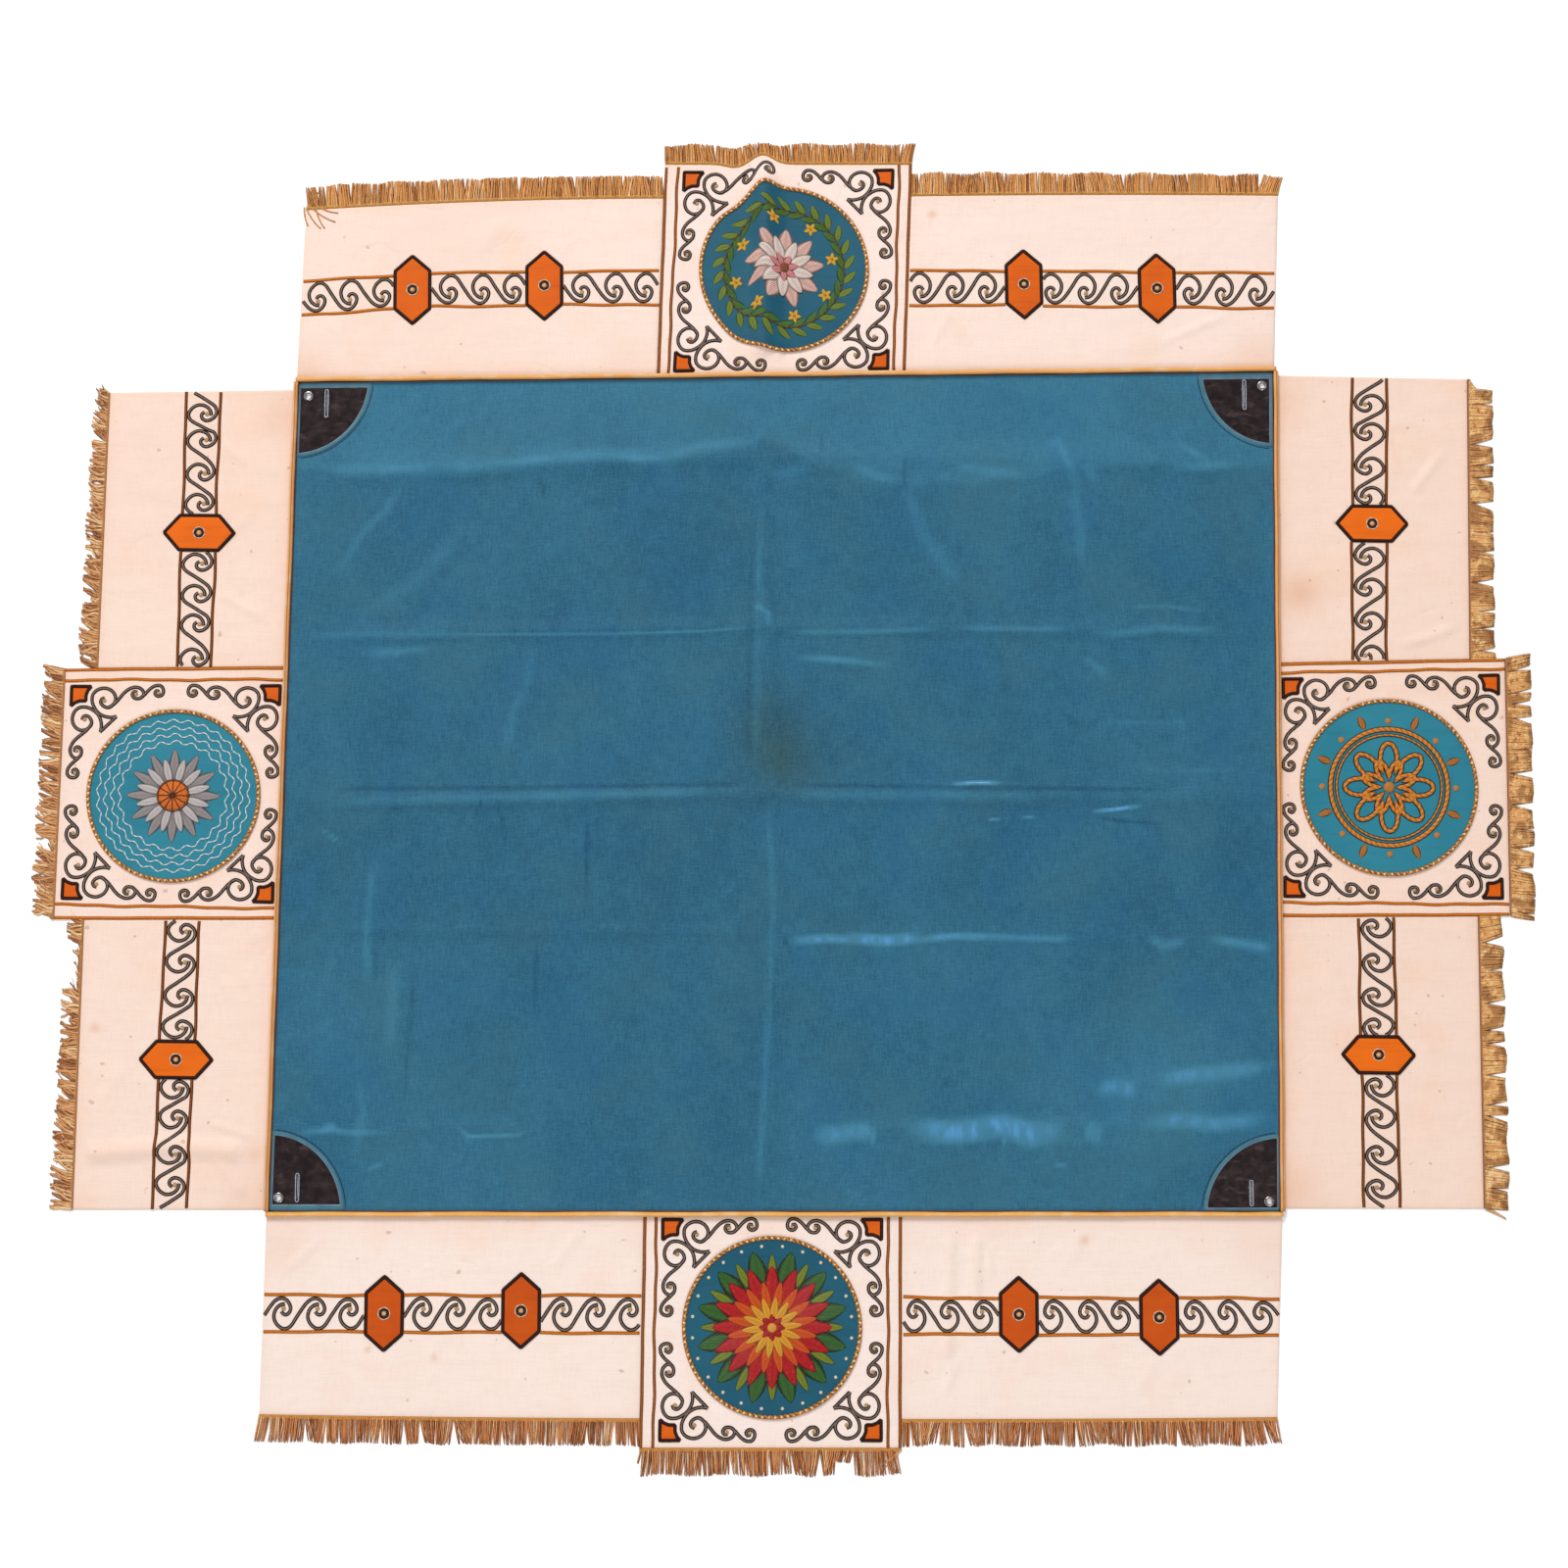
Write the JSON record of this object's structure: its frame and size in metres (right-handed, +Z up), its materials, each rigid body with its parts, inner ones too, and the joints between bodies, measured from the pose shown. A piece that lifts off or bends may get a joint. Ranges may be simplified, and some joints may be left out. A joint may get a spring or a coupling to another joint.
{
  "type": "baldachin cloth",
  "caption": "Processional canopy cloth laid flat: a blue satin panel, ivory valances with deeper squares, embroidered bands and roundels, metal fringe and eyelets in dark corner patches.",
  "frame": {"origin": "on the surface that the cloth lies on, under the middle of its outline with the fringe", "axes": "+Z up off the surface, +Y towards the far hem, +X along the long seams to the right"},
  "size_m": [2.515, 2.2434, 0.0124],
  "materials": {
    "blue_satin": "dull blue satin with a soft sheen, storage creases and faint stains",
    "ivory_cloth": "warm ivory ribbed silk, matt, faintly stained near the seams",
    "metal_fringe": "tarnished gold metal thread in cut locks",
    "orange_cloth": "orange silk with a dark couched cord round it",
    "teal_satin": "painted and embroidered teal satin with a twisted gold cord round it",
    "piping_cord": "twisted orange-gold silk cord",
    "dark_patch": "brown-black cotton, worn and dusty",
    "teal_binding": "folded satin binding, stitched down",
    "eyelet_metal": "silvered and slightly worn",
    "scroll_thread": "dark grey couched cord with a paler core",
    "gold_cord": "brown-gold couched cord",
    "embroidery": "raised silk and metal-thread stitches"
  },
  "bodies": {
    "root": {"binding_farLeft": "teal_binding", "binding_farRight": "teal_binding", "binding_nearLeft": "teal_binding", "binding_nearRight": "teal_binding", "eyelet_farLeft": "eyelet_metal", "eyelet_farRight": "eyelet_metal", "eyelet_nearLeft": "eyelet_metal", "eyelet_nearRight": "eyelet_metal", "far_band_end": "ivory_cloth", "far_band_start": "ivory_cloth", "far_square": "ivory_cloth", "fringe_far_band_end": "metal_fringe", "fringe_far_band_start": "metal_fringe", "fringe_far_square": "metal_fringe", "fringe_left_band_end": "metal_fringe", "fringe_left_band_start": "metal_fringe", "fringe_left_square": "metal_fringe", "fringe_near_band_end": "metal_fringe", "fringe_near_band_start": "metal_fringe", "fringe_near_square": "metal_fringe", "fringe_right_band_end": "metal_fringe", "fringe_right_band_start": "metal_fringe", "fringe_right_square": "metal_fringe", "hexagon_far_1": "orange_cloth", "hexagon_far_2": "orange_cloth", "hexagon_far_3": "orange_cloth", "hexagon_far_4": "orange_cloth", "hexagon_left_1": "orange_cloth", "hexagon_left_2": "orange_cloth", "hexagon_near_1": "orange_cloth", "hexagon_near_2": "orange_cloth", "hexagon_near_3": "orange_cloth", "hexagon_near_4": "orange_cloth", "hexagon_right_1": "orange_cloth", "hexagon_right_2": "orange_cloth", "left_band_end": "ivory_cloth", "left_band_start": "ivory_cloth", "left_square": "ivory_cloth", "near_band_end": "ivory_cloth", "near_band_start": "ivory_cloth", "near_square": "ivory_cloth", "panel_blue": "blue_satin", "patch_farLeft": "dark_patch", "patch_farRight": "dark_patch", "patch_nearLeft": "dark_patch", "patch_nearRight": "dark_patch", "piping_far": "piping_cord", "piping_left": "piping_cord", "piping_near": "piping_cord", "piping_right": "piping_cord", "right_band_end": "ivory_cloth", "right_band_start": "ivory_cloth", "right_square": "ivory_cloth", "roundel_far": "teal_satin", "roundel_left": "teal_satin", "roundel_near": "teal_satin", "roundel_right": "teal_satin"}
  },
  "joints": []
}
